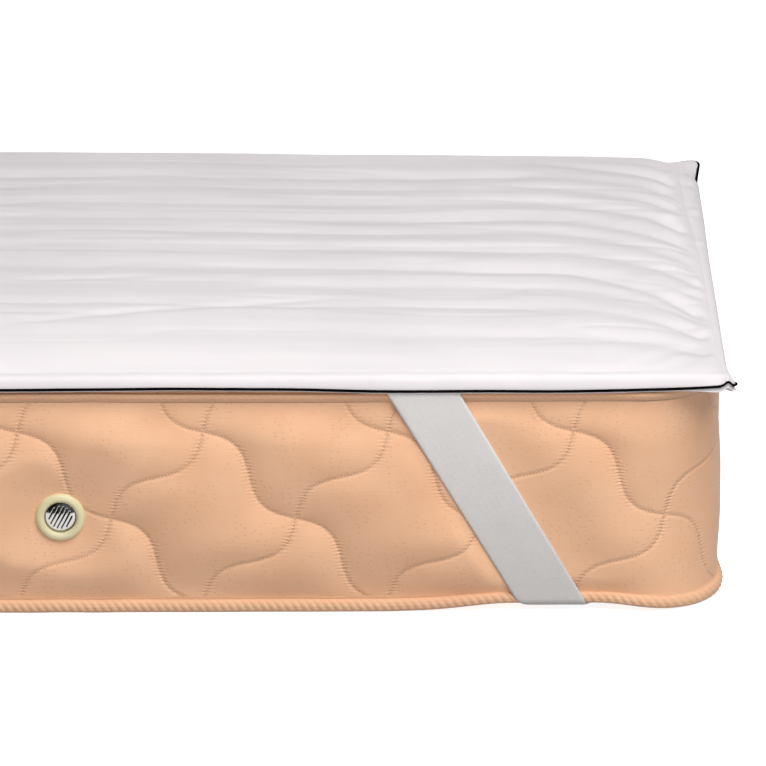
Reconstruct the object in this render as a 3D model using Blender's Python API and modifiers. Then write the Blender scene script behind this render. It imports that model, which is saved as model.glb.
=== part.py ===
"""A filled mattress topper with a piped rim and an elastic strap at each corner,
lying on the single mattress that its straps go round.

Metres, +Z up. The length runs along X, the floor is z = 0 and the origin is the
middle of the footprint. The corner at +X, -Y is the one that the straps, hem and
channels are measured from; the other three mirror it.
"""

from math import cos, exp, hypot, pi, radians, sin, sqrt

import bmesh
import bpy

GAP = 0.0003               # between pieces that touch

# The mattress: a plain sprung block with rounded corners.
LENGTH = 1.90
WIDTH = 0.70
HEIGHT = 0.22
CORNER_RADIUS = 0.080      # in plan
CORNER_STEPS = 10          # facets round one corner in plan
PANEL_RADIUS = 0.006       # where a panel turns into the border
PANEL_STEPS = 3

# The tape edges: a folded tape sewn over the seam of each panel and the border.
TAPE_HEIGHT = 0.012
TAPE_THICK = 0.0047        # how far it stands out of the border
TAPE_FROM_PANEL = 0.002    # from the panel's plane to the near side of the tape
TAPE_STEPS = 6             # facets round its half oval

# The vents: a plastic ring round a slotted metal disc, on both long borders.
VENT_FROM_END = 0.622
VENT_HEIGHT = 0.0955
RING_SECTION = (           # radius and height over the border, round the section
    (0.0235, 0.0000),
    (0.0150, 0.0000),
    (0.0150, 0.0031),
    (0.0165, 0.0047),
    (0.0190, 0.0052),
    (0.0223, 0.0036),
)
RING_HOLE = RING_SECTION[1][0]
DISC_THICK = 0.0025
ROUND_STEPS = 24
SLOTS = 5
SLOT_WIDTH = 0.0016
SLOT_PITCH = 0.0044
SLOT_REACH = 0.0115        # a slot ends this far from the middle of the disc

# The topper: its plan, its rim, its hem and its filled channels.
OVERHANG = 0.007           # of the rim past the border, along the sides
EAR = 0.0055               # how much further the corners stick out
EAR_RUN = 0.030            # how fast an ear dies away along a side
EAR_TIP_RADIUS = 0.010
EAR_LIFT = 0.0035          # of the rim at an ear's tip
EAR_SAG = 0.0040           # of the underside at an ear's tip
RIM_THICK = 0.0030
RIM_RISE = 0.0032          # of the rim's lower edge over the flat underside
RIM_TURN = 0.010           # the underside rises to the rim over this width
HEM_SECTION = (            # rim to seam: inset laid out flat, inset as it hangs, rise
    (0.0000, 0.0045, 0.00),
    (0.0025, 0.0010, 0.28),
    (0.0050, 0.0012, 0.60),
    (0.0080, 0.0050, 0.88),
    (0.0120, 0.0120, 1.00),
)
HEM_WIDTH = HEM_SECTION[-1][0]     # in plan, from the rim to the stitched seam
SEAM_RISE = 0.0162         # of the hem seam over the flat underside
CROWN_RISE = 0.0402        # of the middle over the flat underside
SHOULDER = 0.014           # the quick part of the rise inside the seam
SLOPE = 0.12               # the slow part of it
QUICK_FRONT = 0.55         # the quick part's share, less where the straps pull harder
QUICK_END = 0.75
QUICK_BACK = 0.92
CHANNELS = 14              # side by side across the width
CHANNEL_DEPTH = 0.0032
CHANNEL_SWING = 0.2        # uneven filling, as a share of the depth
SWING_X = 0.43             # and the lengths over which it comes and goes
SWING_Y = 0.17
CHANNEL_BEND = 0.012       # how far the channels swerve towards the front at the ends
BEND_RUN = 0.09
CHANNEL_ROWS = (0.0, 0.15, 0.5, 0.85)      # where a channel is sampled
END_INSETS = (0.016, 0.024, 0.038, 0.060, 0.095, 0.150, 0.230)   # past the seam
LENGTH_STEPS = 12          # between the ends' closer columns

# The piping: a covered cord sewn along the rim.
PIPING_RADIUS = 0.0013

# The straps: wide elastic, from the long side under the corner to the short side.
# Each distance is measured from the mattress's corner, along its side.
STRAP_THICK = 0.0012
STRAP_HEAD = ((0.0010, 0.0009), (0.0034, 0.0000), (0.0050, -0.0032))   # out, over the panel
STRAP_TOP = (0.317, 0.249)     # far and near edge where it leaves the topper
STRAP_LOW = (0.192, 0.127)     # where it meets the lower tape edge
STRAP_UNDER = (0.182, 0.124)   # where it turns under the mattress
STRAP_CLEAR = 0.0004           # from the tape edges
STRAP_LIFT = 0.0060            # how far it pulls the lower tape edge up
LIFT_HALF = 0.040              # of the tape's stretch that is lifted all the way
LIFT_RUN = 0.060               # how fast the lift dies away beyond it
LIFT_FAR = 0.32                # no lift past this distance
LIFT_STEPS = 8
STRAP_DOWN_STEPS = 5
STRAP_TURN_STEPS = 4
STRAP_UNDER_STEPS = 3
STRAP_ACROSS = 2               # facets across its width
GROOVE_MARGIN = 0.001          # the dent that the strap presses, past its edges

TOPPER_BASE = HEIGHT + GAP
RIM_X = LENGTH / 2 + OVERHANG
RIM_Y = WIDTH / 2 + OVERHANG
STRAP_OUT = GAP + TAPE_THICK + STRAP_CLEAR
CORNERS = ((1, -1), (-1, -1), (1, 1), (-1, 1))      # end along X, side along Y

PARTS = "mattress_topper_on_a_mattress"
TOOLS = "cutters_and_guides"

COTTON = ("white_cotton", "F4F2F3", 0.85, 0.0)
PIPING = ("black_piping", "0C0B0D", 0.6, 0.0)
ELASTIC = ("grey_elastic", "CFCFCD", 0.8, 0.0)
TICKING = ("tan_ticking", "E4B28C", 0.8, 0.0)
TAPE = ("tan_tape", "DDA67D", 0.75, 0.0)
PLASTIC = ("cream_plastic", "EFE3B8", 0.35, 0.0)
METAL = ("polished_metal", "C9CACB", 0.15, 1.0)


# ---------------------------------------------------------------- helpers

def linear(hex_colour):
    """An sRGB hex colour as linear red, green, blue and alpha."""
    channels = [int(hex_colour[i:i + 2], 16) / 255 for i in (0, 2, 4)]
    return [c / 12.92 if c < 0.04045 else ((c + 0.055) / 1.055) ** 2.4 for c in channels] + [1.0]


def material(name, hex_colour, roughness, metallic):
    """The Principled material of one kind of stuff, made once."""
    found = bpy.data.materials.get(name)
    if found:
        return found
    made = bpy.data.materials.new(name)
    made.use_nodes = True
    shader = made.node_tree.nodes["Principled BSDF"]
    shader.inputs["Base Color"].default_value = linear(hex_colour)
    shader.inputs["Roughness"].default_value = roughness
    shader.inputs["Metallic"].default_value = metallic
    return made


def collection(name):
    """The scene's collection of that name."""
    found = bpy.data.collections.get(name)
    if not found:
        found = bpy.data.collections.new(name)
        bpy.context.scene.collection.children.link(found)
    return found


def place(thing, group):
    """Moves an object into one collection."""
    for old in list(thing.users_collection):
        old.objects.unlink(thing)
    collection(group).objects.link(thing)
    return thing


def part(thing, name, stuff):
    """Names an object as a sub-part and gives it its material."""
    thing.name = name
    thing.data.name = name
    thing.data.materials.clear()
    thing.data.materials.append(material(*stuff))
    return place(thing, PARTS)


def tool(thing, name):
    """Marks an object as a cutter or a guide."""
    thing.name = name
    thing.hide_render = True
    thing.display_type = "WIRE"
    return place(thing, TOOLS)


def mesh_object(name, shape):
    """An object from a bmesh, which is freed."""
    mesh = bpy.data.meshes.new(name)
    shape.to_mesh(mesh)
    shape.free()
    thing = bpy.data.objects.new(name, mesh)
    bpy.context.scene.collection.objects.link(thing)
    return thing


def closed_curve(name, points, flat):
    """A closed straight-sided curve through the points."""
    curve = bpy.data.curves.new(name, "CURVE")
    curve.dimensions = "2D" if flat else "3D"
    spline = curve.splines.new("POLY")
    spline.points.add(len(points) - 1)
    for knot, point in zip(spline.points, points):
        knot.co = (*point, 1.0)
    spline.use_cyclic_u = True
    thing = bpy.data.objects.new(name, curve)
    bpy.context.scene.collection.objects.link(thing)
    return thing


def smooth(thing, angle):
    """Shades a mesh object smooth, but for edges sharper than the angle in degrees."""
    thing.data.shade_smooth()
    thing.data.set_sharp_from_angle(angle=radians(angle))


def cut(thing, cutter):
    """Subtracts a cutter with a Boolean modifier."""
    boolean = thing.modifiers.new(cutter.name, "BOOLEAN")
    boolean.operation = "DIFFERENCE"
    boolean.object = cutter
    boolean.solver = "EXACT"


def corner_name(end, side):
    """The name of a corner, seen from the front."""
    return f"{'front' if side < 0 else 'back'}_{'right' if end > 0 else 'left'}"


def box(name, size, centre, turn=0.0):
    """A block of that size about the centre, turned about Z."""
    bpy.ops.mesh.primitive_cube_add(size=1, location=centre)
    thing = bpy.context.object
    thing.name = name
    thing.scale = size
    bpy.ops.object.transform_apply(location=False, rotation=False, scale=True)
    thing.rotation_euler.z = turn
    return thing


# --------------------------------------------------------------- mattress

def build_mattress():
    """A block with rounded corners and panel edges, dented under the straps."""
    thing = box("mattress", (LENGTH, WIDTH, HEIGHT), (0, 0, HEIGHT / 2))
    shape = bmesh.new()
    shape.from_mesh(thing.data)
    upright = [edge for edge in shape.edges if edge.verts[0].co.xy == edge.verts[1].co.xy]
    bmesh.ops.bevel(shape, geom=upright, offset=CORNER_RADIUS, segments=CORNER_STEPS,
                    profile=0.5, affect="EDGES")
    panels = [edge for edge in shape.edges if edge.verts[0].co.z == edge.verts[1].co.z]
    bmesh.ops.bevel(shape, geom=panels, offset=PANEL_RADIUS, segments=PANEL_STEPS,
                    profile=0.5, affect="EDGES")
    shape.to_mesh(thing.data)
    shape.free()
    smooth(thing, 30)
    part(thing, "mattress", TICKING)
    for end, side in CORNERS:
        cut(thing, strap_groove(end, side))


def strap_groove(end, side):
    """The cutter for the dent that one strap presses into the underside."""
    far, near = STRAP_UNDER
    middle = (far + near) / 4
    width = (far - near) / sqrt(2) + 2 * GROOVE_MARGIN
    depth = STRAP_LIFT + STRAP_THICK + 2 * GAP
    centre = (end * (LENGTH / 2 - middle), side * (WIDTH / 2 - middle), 0)
    size = (2 * far, width, 2 * depth)
    turn = -end * side * radians(45)
    return tool(box("groove_cutter", size, centre, turn), "groove_cutter")


def border_outline(out, height, lift):
    """Points round the mattress's border, moved outward, anticlockwise, and raised by
    the lift where a strap passes."""
    reaches = [LIFT_FAR - (LIFT_FAR - CORNER_RADIUS) * step / LIFT_STEPS for step in range(LIFT_STEPS)]
    corner = [(reach, -out) for reach in reaches]
    for step in range(CORNER_STEPS + 1):
        angle = radians(90) * step / CORNER_STEPS
        in_from_end = CORNER_RADIUS - (CORNER_RADIUS + out) * sin(angle)
        in_from_side = CORNER_RADIUS - (CORNER_RADIUS + out) * cos(angle)
        corner.append((in_from_end, in_from_side))
    corner += [(-out, reach) for reach in reversed(reaches)]
    points = []
    for end, side in ((1, -1), (1, 1), (-1, 1), (-1, -1)):
        for in_from_end, in_from_side in corner if end != side else reversed(corner):
            raised = height + lift * strap_pull(max(in_from_end, in_from_side))
            x = end * (LENGTH / 2 - in_from_end)
            y = side * (WIDTH / 2 - in_from_side)
            points.append((x, y, raised))
    return points


def strap_pull(reach):
    """How much of its full lift the tape edge has at a distance from the corner."""
    beyond = max(0, abs(reach - sum(STRAP_LOW + STRAP_UNDER) / 4) - LIFT_HALF)
    return exp(-(beyond / LIFT_RUN) ** 2)


def build_tape_edges():
    """Two half-oval tapes round the border, next to the panels."""
    from_panel = TAPE_FROM_PANEL + TAPE_HEIGHT / 2
    profile = []
    for step in range(TAPE_STEPS + 1):
        angle = pi * (step / TAPE_STEPS - 0.5)
        profile.append((TAPE_THICK * cos(angle), TAPE_HEIGHT / 2 * sin(angle), 0))
    tapes = (("tape_edge_bottom", from_panel, STRAP_LIFT), ("tape_edge_top", HEIGHT - from_panel, 0))
    for name, height, lift in tapes:
        section = tool(closed_curve("tape_section", profile, flat=True), "tape_section")
        path = closed_curve("tape_path", border_outline(GAP, height, lift), flat=False)
        path.data.twist_mode = "Z_UP"
        path.data.bevel_mode = "OBJECT"
        path.data.bevel_object = section
        part(as_mesh(path), name, TAPE)


def as_mesh(curve_object):
    """Replaces a curve object by the mesh that it draws."""
    graph = bpy.context.evaluated_depsgraph_get()
    graph.update()
    mesh = bpy.data.meshes.new_from_object(curve_object.evaluated_get(graph))
    shape = bmesh.new()
    shape.from_mesh(mesh)
    bmesh.ops.remove_doubles(shape, verts=shape.verts, dist=1e-6)
    bmesh.ops.recalc_face_normals(shape, faces=shape.faces)
    bpy.data.meshes.remove(mesh)
    thing = mesh_object(curve_object.name, shape)
    thing.matrix_world = curve_object.matrix_world
    bpy.data.objects.remove(curve_object)
    smooth(thing, 50)
    return thing


# ------------------------------------------------------------------ vents

def build_vents():
    """A vent near each end of both long borders."""
    for end, side in CORNERS:
        where = corner_name(end, side)
        seat = bpy.data.objects.new(f"vent_seat_{where}", None)
        seat.location = (end * (LENGTH / 2 - VENT_FROM_END), side * (WIDTH / 2 + GAP), VENT_HEIGHT)
        seat.rotation_euler.x = -side * radians(90)
        seat.empty_display_size = RING_HOLE
        collection(PARTS).objects.link(seat)
        vent_ring(f"vent_ring_{where}").parent = seat
        vent_disc(f"vent_disc_{where}").parent = seat


def vent_ring(name):
    """A domed plastic ring, turned about its own Z from its section."""
    shape = bmesh.new()
    knots = [shape.verts.new((radius, 0, height)) for radius, height in RING_SECTION]
    for knot, following in zip(knots, knots[1:] + knots[:1]):
        shape.edges.new((knot, following))
    thing = part(mesh_object(name, shape), name, PLASTIC)
    screw = thing.modifiers.new("turned", "SCREW")
    screw.axis = "Z"
    screw.angle = radians(360)
    screw.steps = ROUND_STEPS
    screw.render_steps = ROUND_STEPS
    screw.use_merge_vertices = True
    screw.merge_threshold = 0.00001
    screw.use_smooth_shade = True
    return thing


def vent_disc(name):
    """A metal disc inside the ring, with upright slots through it."""
    bpy.ops.mesh.primitive_cylinder_add(vertices=ROUND_STEPS, radius=RING_HOLE - GAP,
                                        depth=DISC_THICK, location=(0, 0, DISC_THICK / 2))
    disc = bpy.context.object
    bpy.ops.object.transform_apply(location=True, rotation=False, scale=False)
    smooth(disc, 30)
    part(disc, name, METAL)
    for slot in range(SLOTS):
        across = (slot - (SLOTS - 1) / 2) * SLOT_PITCH
        length = 2 * sqrt(SLOT_REACH ** 2 - across ** 2)
        size = (SLOT_WIDTH, length, 3 * DISC_THICK)
        cutter = tool(box("slot_cutter", size, (across, 0, DISC_THICK / 2)), "slot_cutter")
        cutter.parent = disc
        cut(disc, cutter)
    return disc


# ----------------------------------------------------------------- topper

def stations(half, inner):
    """The grid's stations across the topper, from one rim to the other. Each is its
    place laid out flat, its place as the hem hangs, how far the hem has come up, and
    its share of the way across a channel."""
    near = [(flat - half, hung - half, up, 0.0) for flat, hung, up in HEM_SECTION]
    far = [(-flat, -hung, up, 0.0) for flat, hung, up, _ in reversed(near)]
    return near + [(place, place, 1.0, share) for place, share in inner] + far


def topper_columns():
    """The stations along X, closer together near the ends."""
    ends = [inset - RIM_X for inset in END_INSETS]
    span = -2 * ends[-1] / LENGTH_STEPS
    middle = [ends[-1] + span * step for step in range(1, LENGTH_STEPS)]
    places = ends + middle + [-x for x in reversed(ends)]
    return stations(RIM_X, [(x, 0.0) for x in places])


def topper_rows():
    """The stations along Y, a few to each channel."""
    first = HEM_WIDTH - RIM_Y
    pitch = -2 * first / CHANNELS
    inner = [(first + pitch * (k + share), share) for k in range(CHANNELS) for share in CHANNEL_ROWS]
    return stations(RIM_Y, inner[1:])


def rise(inset, quick):
    """How far the filling has come up at an inset from the seam, from 0 to 1."""
    return 1 - quick * exp(-inset / SHOULDER) - (1 - quick) * exp(-inset / SLOPE)


def ear(inset_x, inset_y):
    """1 at a corner's tip, dying away from it."""
    return exp(-((inset_x + inset_y) / EAR_RUN) ** 2)


def topper_point(column, row):
    """The point of the top cloth at a station along X and one along Y."""
    flat_x, hung_x, up_x, _ = column
    flat_y, hung_y, up_y, share = row
    inset_x = RIM_X - abs(flat_x)
    inset_y = RIM_Y - abs(flat_y)
    tip = ear(inset_x, inset_y)
    up = min(up_x, up_y)
    if up < 1:
        rim_top = RIM_RISE + RIM_THICK + EAR_LIFT * tip
        height = rim_top + (SEAM_RISE - rim_top) * up
    else:
        quick = QUICK_FRONT if flat_y < 0 else QUICK_BACK
        filled = rise(inset_x - HEM_WIDTH, QUICK_END) * rise(inset_y - HEM_WIDTH, quick)
        uneven = 1 + CHANNEL_SWING * sin(2 * pi * (flat_x / SWING_X + flat_y / SWING_Y))
        valley = CHANNEL_DEPTH * uneven * filled * (1 - abs(sin(pi * share)))
        height = SEAM_RISE + (CROWN_RISE - SEAM_RISE) * filled - valley
    across = flat_y / (RIM_Y - HEM_WIDTH)
    swerve = CHANNEL_BEND * exp(-inset_x / BEND_RUN) * max(0, 1 - across ** 2)
    out_x, out_y = ear_plan(inset_x, inset_y)
    x = hung_x + (flat_x - hung_x) * tip + (out_x if flat_x > 0 else -out_x)
    y = hung_y + (flat_y - hung_y) * tip + (out_y if flat_y > 0 else -out_y) - swerve
    return (x, y, TOPPER_BASE + height)


def ear_plan(inset_x, inset_y):
    """How far an ear moves a point outward along X and along Y, with its tip rounded."""
    move_x = move_y = EAR * exp(-(hypot(inset_x, inset_y) / EAR_RUN) ** 2)
    deep_x = 1 - inset_x / EAR_TIP_RADIUS
    deep_y = 1 - inset_y / EAR_TIP_RADIUS
    if min(deep_x, deep_y) > 0:
        squeeze = 1 - max(deep_x, deep_y) / hypot(deep_x, deep_y)
        move_x -= squeeze * deep_x * EAR_TIP_RADIUS
        move_y -= squeeze * deep_y * EAR_TIP_RADIUS
    return move_x, move_y


def build_topper():
    """One filled solid: the channelled top, the rim and the flat underside."""
    columns = topper_columns()
    rows = topper_rows()
    last_column = len(columns) - 1
    last_row = len(rows) - 1
    shape = bmesh.new()
    bmesh.ops.create_grid(shape, x_segments=last_column, y_segments=last_row, size=0.5)
    for vert in shape.verts:
        column = columns[round((vert.co.x + 0.5) * last_column)]
        row = rows[round((vert.co.y + 0.5) * last_row)]
        vert.co = topper_point(column, row)
    lower_edge = extrude_rim(shape)
    for vert in lower_edge:
        tip = ear(RIM_X - abs(vert.co.x), RIM_Y - abs(vert.co.y))
        vert.co.z = TOPPER_BASE + RIM_RISE - EAR_SAG * tip
    for vert in extrude_rim(shape):
        vert.co.x *= 1 - RIM_TURN / RIM_X
        vert.co.y *= 1 - RIM_TURN / RIM_Y
        vert.co.z = TOPPER_BASE
    bmesh.ops.holes_fill(shape, edges=[edge for edge in shape.edges if edge.is_boundary], sides=0)
    bmesh.ops.recalc_face_normals(shape, faces=shape.faces)
    thing = mesh_object("topper", shape)
    smooth(thing, 60)
    part(thing, "topper", COTTON)


def extrude_rim(shape):
    """Extrudes the open rim of a sheet and returns the new points."""
    rim = [edge for edge in shape.edges if edge.is_boundary]
    made = bmesh.ops.extrude_edge_only(shape, edges=rim)
    return [item for item in made["geom"] if isinstance(item, bmesh.types.BMVert)]


def rim_points():
    """The top points of the topper's rim, anticlockwise from the front left corner."""
    columns = topper_columns()
    rows = topper_rows()
    front = [topper_point(column, rows[0]) for column in columns[:-1]]
    right = [topper_point(columns[-1], row) for row in rows[:-1]]
    back = [topper_point(column, rows[-1]) for column in reversed(columns[1:])]
    left = [topper_point(columns[0], row) for row in reversed(rows[1:])]
    return front + right + back + left


def build_piping():
    """A cord along the rim, half way up its thickness."""
    points = rim_points()
    route = []
    for index, (x, y, z) in enumerate(points):
        before = points[index - 1]
        after = points[(index + 1) % len(points)]
        back = unit(x - before[0], y - before[1])
        on = unit(after[0] - x, after[1] - y)
        out_x, out_y = unit(back[1] + on[1], -back[0] - on[0])
        straight = on[1] * out_x - on[0] * out_y
        reach = (GAP + PIPING_RADIUS) / straight
        route.append((x + out_x * reach, y + out_y * reach, z - RIM_THICK / 2))
    path = closed_curve("piping", route, flat=False)
    path.data.bevel_depth = PIPING_RADIUS
    path.data.bevel_resolution = 1
    part(as_mesh(path), "piping", PIPING)


def unit(x, y):
    """The direction of a plan vector."""
    size = hypot(x, y)
    return x / size, y / size


# ----------------------------------------------------------------- straps

def strap_route():
    """Pairs of points, on the far and near edge of the strap's inner face, from the
    long side to the middle of its run under the mattress. Each point is its distance
    in from the short side, in from the long side, and its height."""
    low_tape = TAPE_FROM_PANEL + TAPE_HEIGHT / 2 + STRAP_LIFT
    high_tape = HEIGHT - TAPE_FROM_PANEL - TAPE_HEIGHT / 2
    under = STRAP_LIFT + STRAP_THICK + GAP
    downward = [(out, HEIGHT + height) for out, height in STRAP_HEAD]
    for step in range(STRAP_DOWN_STEPS + 1):
        height = high_tape + (low_tape - high_tape) * step / STRAP_DOWN_STEPS
        downward.append((STRAP_OUT, height))
    pairs = []
    for out, height in downward:
        share = (HEIGHT - height) / (HEIGHT - low_tape)
        pairs.append([(high + (low - high) * share, -out, height)
                      for high, low in zip(STRAP_TOP, STRAP_LOW)])
    for step in range(1, STRAP_TURN_STEPS + 1):
        share = step / STRAP_TURN_STEPS
        angle = radians(90) * share
        out = GAP + (STRAP_OUT - GAP) * cos(angle)
        height = low_tape - (low_tape - under) * sin(angle)
        pairs.append([(low + (below - low) * share, -out, height)
                      for low, below in zip(STRAP_LOW, STRAP_UNDER)])
    for step in range(1, STRAP_UNDER_STEPS + 1):
        share = step / STRAP_UNDER_STEPS / 2
        pairs.append([(below + (-GAP - below) * share, -GAP + (below + GAP) * share, under)
                      for below in STRAP_UNDER])
    return pairs


def build_straps():
    """One elastic strap round each corner."""
    half = strap_route()
    other_half = [[(q, p, height) for p, q, height in pair] for pair in reversed(half[:-1])]
    route = half + other_half
    for end, side in CORNERS:
        name = f"strap_{corner_name(end, side)}"
        shape = bmesh.new()
        bmesh.ops.create_grid(shape, x_segments=len(route) - 1, y_segments=STRAP_ACROSS, size=0.5)
        for vert in shape.verts:
            far, near = route[round((vert.co.x + 0.5) * (len(route) - 1))]
            share = vert.co.y + 0.5
            p, q, height = [a + (b - a) * share for a, b in zip(far, near)]
            vert.co = (end * (LENGTH / 2 - p), side * (WIDTH / 2 - q), height)
        if end == side:
            bmesh.ops.reverse_faces(shape, faces=shape.faces)
        thing = mesh_object(name, shape)
        thickness = thing.modifiers.new("elastic", "SOLIDIFY")
        thickness.thickness = STRAP_THICK
        thickness.offset = 1
        thickness.use_even_offset = True
        smooth(thing, 60)
        part(thing, name, ELASTIC)


for leftover in list(bpy.data.objects):
    bpy.data.objects.remove(leftover)

build_mattress()
build_tape_edges()
build_vents()
build_topper()
build_piping()
build_straps()
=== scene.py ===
# %% [markdown]
# # A mattress topper on the mattress that it fits
# A topper is a thin filled pad: two cloths with filling between them, sewn into long
# channels, with a hem and a piping all round and an elastic strap at each corner.
# The solids that come with this file have the right sizes but plain faces. Each cell
# below makes one sewn piece again as a fine surface, in the same place and size.

import bpy
import numpy as np
from mathutils import Matrix, Vector


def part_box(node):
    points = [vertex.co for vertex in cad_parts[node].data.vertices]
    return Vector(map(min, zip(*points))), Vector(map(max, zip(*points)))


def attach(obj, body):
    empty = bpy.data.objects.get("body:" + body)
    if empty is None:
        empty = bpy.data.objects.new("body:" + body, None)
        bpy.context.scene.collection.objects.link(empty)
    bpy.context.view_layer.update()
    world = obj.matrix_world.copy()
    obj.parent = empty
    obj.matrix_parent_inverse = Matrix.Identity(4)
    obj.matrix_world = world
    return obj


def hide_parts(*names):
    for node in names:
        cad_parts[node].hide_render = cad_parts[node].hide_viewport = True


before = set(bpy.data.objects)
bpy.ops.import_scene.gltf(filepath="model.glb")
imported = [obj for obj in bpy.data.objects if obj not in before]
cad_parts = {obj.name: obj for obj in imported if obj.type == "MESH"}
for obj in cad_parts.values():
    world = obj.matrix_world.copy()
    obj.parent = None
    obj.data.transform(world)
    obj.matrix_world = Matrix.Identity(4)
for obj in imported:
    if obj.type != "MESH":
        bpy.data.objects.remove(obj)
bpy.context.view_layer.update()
HALF_LENGTH, HALF_WIDTH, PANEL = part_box("mattress")[1]
mattress_size = [round(side, 3) for side in (2 * HALF_LENGTH, 2 * HALF_WIDTH, PANEL)]
print(len(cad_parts), "solids; the mattress measures", mattress_size, "m")

# %% [markdown]
# ## The camera
# The photograph looks along the width of the mattress from far away, 18 degrees down,
# so parallel edges stay nearly parallel. A long lens far back does the same. The lens
# is shifted a little, because the picture's middle isn't where the camera aims.

# %% Set the camera
PITCH, YAW = 0.31573, 0.00953          # radians
DISTANCE, FOCUS = 8.0, 8502.0          # metres and pixels
AIM = Vector((0.6, -0.35, 0.2))
AIM_PIXEL = (348.4, 410.7)             # where that place is in the picture
PICTURE, SENSOR = 766, 36              # pixels and millimetres across


def in_scene(name, data):
    """A new object, linked to the scene."""
    thing = bpy.data.objects.new(name, data)
    bpy.context.scene.collection.objects.link(thing)
    return thing


ahead = Vector((np.sin(YAW) * np.cos(PITCH), np.cos(YAW) * np.cos(PITCH), -np.sin(PITCH)))
right = Vector((np.cos(YAW), -np.sin(YAW), 0))
turned = Matrix((right, right.cross(ahead), -ahead)).transposed().to_4x4()
camera_data = bpy.data.cameras.new("camera")
camera = in_scene("camera", camera_data)
camera.matrix_world = Matrix.Translation(AIM - DISTANCE * ahead) @ turned
camera_data.sensor_width = SENSOR
camera_data.lens = FOCUS * SENSOR / PICTURE
camera_data.shift_x = (PICTURE / 2 - AIM_PIXEL[0]) / PICTURE
camera_data.shift_y = (AIM_PIXEL[1] - PICTURE / 2) / PICTURE
camera_data.clip_end = 100
bpy.context.scene.camera = camera
print("lens", round(camera_data.lens), "mm")

# %% [markdown]
# ## Arrays into meshes
# Every piece is a closed skin that is worked out as whole arrays of points. One helper
# gives the four corners of each face of a grid, another puts the arrays into a mesh.
# A closed skin encloses a volume, and the sign of that volume says whether its faces
# look outward, so the second helper turns the faces when the sign is negative. Two more
# close a skin: a tube on itself or with two caps, and a sheet with rings under its edge.

# %% Helpers for grids and meshes
def grid_faces(rows, columns, round_rows=False, round_columns=False):
    """The corners of each face as grid rows and grid columns. A grid that closes on itself
    has one more row (or column) of faces, whose far corners are the first row's."""
    i, j = np.meshgrid(np.arange(rows - 1 + round_rows), np.arange(columns - 1 + round_columns),
                       indexing="ij")
    at_row = np.stack([i, i + 1, i + 1, i], -1).reshape(-1, 4)
    at_column = np.stack([j, j, j + 1, j + 1], -1).reshape(-1, 4)
    return at_row, at_column


def signed_volume(points, faces):
    """Six times the volume under each face, as seen from the origin, added up, over six."""
    a, b, c, d = (points[faces[:, k]] for k in range(4))
    return (np.einsum("ij,ij->", a, np.cross(b, c)) + np.einsum("ij,ij->", a, np.cross(c, d))) / 6


def skin(name, points, faces, caps=(), values=None):
    """A mesh from points, four-cornered faces and many-cornered caps. values has an
    array for each attribute, with up to three numbers for every corner of every face."""
    values = values or {}
    if signed_volume(points, faces) < 0:
        faces = faces[:, ::-1]
        caps = [cap[::-1] for cap in caps]
        values = {label: numbers[:, ::-1] for label, numbers in values.items()}
    corners = np.concatenate([faces.ravel(), *caps]).astype("i")
    sizes = np.array([4] * len(faces) + [len(cap) for cap in caps])
    mesh = bpy.data.meshes.new(name)
    mesh.vertices.add(len(points))
    mesh.vertices.foreach_set("co", points.astype("f").ravel())
    mesh.loops.add(len(corners))
    mesh.loops.foreach_set("vertex_index", corners)
    mesh.polygons.add(len(sizes))
    mesh.polygons.foreach_set("loop_start", (np.cumsum(sizes) - sizes).astype("i"))
    mesh.update(calc_edges=True)
    for label, numbers in values.items():
        wide = np.zeros((len(corners), 3))
        wide[:faces.size, :numbers.shape[-1]] = numbers.reshape(faces.size, -1)
        attribute = mesh.attributes.new(label, "FLOAT_VECTOR", "CORNER")
        attribute.data.foreach_set("vector", wide.astype("f").ravel())
    return mesh


def tube(name, rings, closed, values=None):
    """A skin from rings of points, rings[i, j]. It closes on itself, or else has a cap at
    each end. A values array has one more column than the rings, and one more row where the
    tube closes, so that a length measured round them doesn't jump back to zero."""
    rows, columns = rings.shape[:2]
    at_row, at_column = grid_faces(rows, columns, closed, True)
    faces = (at_row % rows) * columns + at_column % columns
    around = np.arange(columns)
    caps = [] if closed else [around, (rows - 1) * columns + around[::-1]]
    corner_values = {label: numbers[at_row, at_column] for label, numbers in (values or {}).items()}
    return skin(name, rings.reshape(-1, 3), faces, caps, corner_values)


def rim_order(rows, columns):
    """The grid's edge points, anticlockwise from the front left corner."""
    number = np.arange(rows * columns).reshape(rows, columns)
    return np.concatenate([number[:-1, 0], number[-1, :-1], number[:0:-1, -1], number[0, :0:-1]])


def sheet_on_rings(name, grid, rings, label, numbers, beyond):
    """A skin from a grid of points, rings of points that carry on from its edge, and a cap
    on the last ring. One attribute has the grid's numbers, and one number beyond it."""
    rows, columns = grid.shape[:2]
    edge = rim_order(rows, columns)
    count = len(edge)
    order = np.append(edge, rows * columns + np.arange(len(rings) * count)).reshape(-1, count)
    at_row, at_column = grid_faces(rows, columns)
    ring_row, ring_column = grid_faces(len(rings) + 1, count, False, True)
    ring_faces = order[ring_row, ring_column % count]
    faces = np.concatenate([at_row * columns + at_column, ring_faces])
    rest = np.full((len(ring_faces), 4, numbers.shape[-1]), beyond)
    values = {label: np.concatenate([numbers[at_row, at_column], rest])}
    return skin(name, np.concatenate([grid.reshape(-1, 3), *rings]), faces, [order[-1][::-1]], values)

# %% [markdown]
# ## Colours, nodes and pieces
# Colours are written as they look on a screen and turned to the linear light that a
# renderer adds up. A node tree is built with one small function. Stitches, ribs and
# threads are all sines of some length, so a second function adds those. The last one
# puts a finished mesh in the scene in place of the solid that it stands for.

# %% Helpers for finishes and pieces
WAVE = 2 * np.pi / 20                  # a wave texture's scale times its wave's length


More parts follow.
